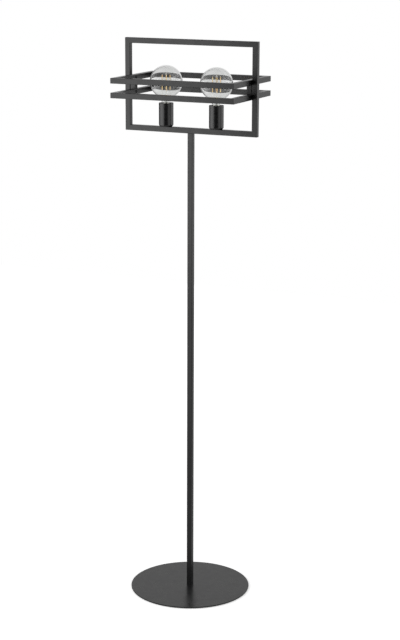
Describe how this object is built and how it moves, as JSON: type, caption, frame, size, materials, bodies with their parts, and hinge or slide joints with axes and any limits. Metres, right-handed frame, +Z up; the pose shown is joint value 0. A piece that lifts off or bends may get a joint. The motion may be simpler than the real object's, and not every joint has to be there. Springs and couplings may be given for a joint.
{
  "type": "floor lamp",
  "caption": "Floor lamp with a round base, a square pole and a cage of square-tube frames around upright lampholders with clear globe bulbs that screw in and out.",
  "frame": {"origin": "centre of the base on the floor, at the underside of the pads", "axes": "+Z up along the pole, +X along the long side of the cage, +Y to the back, where the cable outlet is"},
  "size_m": [0.421, 0.365, 1.683],
  "materials": {
    "powder_coat": "satin black powder coat with a fine grain",
    "cup_paint": "smooth satin black paint",
    "black_screw": "blackened steel",
    "plated_steel": "zinc-plated steel",
    "pad_foam": "black foam pad",
    "grommet_rubber": "matt black rubber",
    "connector_nylon": "white nylon",
    "phenolic": "black phenolic moulding",
    "contact_brass": "plain brass",
    "lead_jacket": "white insulated wire",
    "bulb_contact": "soldered contact",
    "bulb_insulator": "black glass",
    "bulb_cap": "nickel-plated screw cap",
    "driver_resin": "green circuit board in resin",
    "bulb_glass": "clear blown glass",
    "stem_glass": "clear pressed glass",
    "filament": "amber phosphor coating, unlit",
    "filament_wire": "bright nickel wire"
  },
  "bodies": {
    "stand": {"base_pads": "pad_foam", "base_plate": "powder_coat", "bottom_rail": "powder_coat", "cable_grommet": "grommet_rubber", "cage_screws": "black_screw", "foot_plug": "plated_steel", "foot_screw": "plated_steel", "head_grub_screw": "black_screw", "head_spigot": "plated_steel", "lead_connector": "connector_nylon", "left_cup": "cup_paint", "left_holder_base": "phenolic", "left_lead": "lead_jacket", "left_nipple": "plated_steel", "left_nut": "plated_steel", "left_post": "powder_coat", "left_screw_shell": "contact_brass", "left_sleeve": "phenolic", "left_spacer": "powder_coat", "left_tongue": "contact_brass", "lower_back_bar": "powder_coat", "lower_front_bar": "powder_coat", "lower_left_bar": "powder_coat", "lower_right_bar": "powder_coat", "pole": "powder_coat", "right_cup": "cup_paint", "right_holder_base": "phenolic", "right_lead": "lead_jacket", "right_nipple": "plated_steel", "right_nut": "plated_steel", "right_post": "powder_coat", "right_screw_shell": "contact_brass", "right_sleeve": "phenolic", "right_spacer": "powder_coat", "right_tongue": "contact_brass", "rivet_nuts": "plated_steel", "top_rail": "powder_coat", "upper_back_bar": "powder_coat", "upper_front_bar": "powder_coat", "upper_left_bar": "powder_coat", "upper_right_bar": "powder_coat"},
    "left_bulb_lift": {"left_bulb_contact": "bulb_contact"},
    "left_bulb": {"left_bulb_cap": "bulb_cap", "left_bulb_driver": "driver_resin", "left_bulb_filaments": "filament", "left_bulb_glass": "bulb_glass", "left_bulb_insulator": "bulb_insulator", "left_bulb_stem": "stem_glass", "left_bulb_wires": "filament_wire"},
    "right_bulb_lift": {"right_bulb_contact": "bulb_contact"},
    "right_bulb": {"right_bulb_cap": "bulb_cap", "right_bulb_driver": "driver_resin", "right_bulb_filaments": "filament", "right_bulb_glass": "bulb_glass", "right_bulb_insulator": "bulb_insulator", "right_bulb_stem": "stem_glass", "right_bulb_wires": "filament_wire"}
  },
  "joints": [
    {"name": "left_bulb_rise", "type": "slide", "parent": "stand", "child": "left_bulb_lift", "axis": [0, 0, 1], "range_m": [0, 0.01815]},
    {"name": "left_bulb_turn", "type": "hinge", "parent": "left_bulb_lift", "child": "left_bulb", "pos_m": [-0.0805, 0, 1.4705], "axis": [0, 0, 1], "range_deg": [0, 1800]},
    {"name": "right_bulb_rise", "type": "slide", "parent": "stand", "child": "right_bulb_lift", "axis": [0, 0, 1], "range_m": [0, 0.01815]},
    {"name": "right_bulb_turn", "type": "hinge", "parent": "right_bulb_lift", "child": "right_bulb", "pos_m": [0.0805, 0, 1.4705], "axis": [0, 0, 1], "range_deg": [0, 1800]}
  ],
  "couplings": [
    {"joint": "left_bulb_rise", "follows": "left_bulb_turn", "m_per_rad": 0.0005775},
    {"joint": "right_bulb_rise", "follows": "right_bulb_turn", "m_per_rad": 0.0005775}
  ]
}
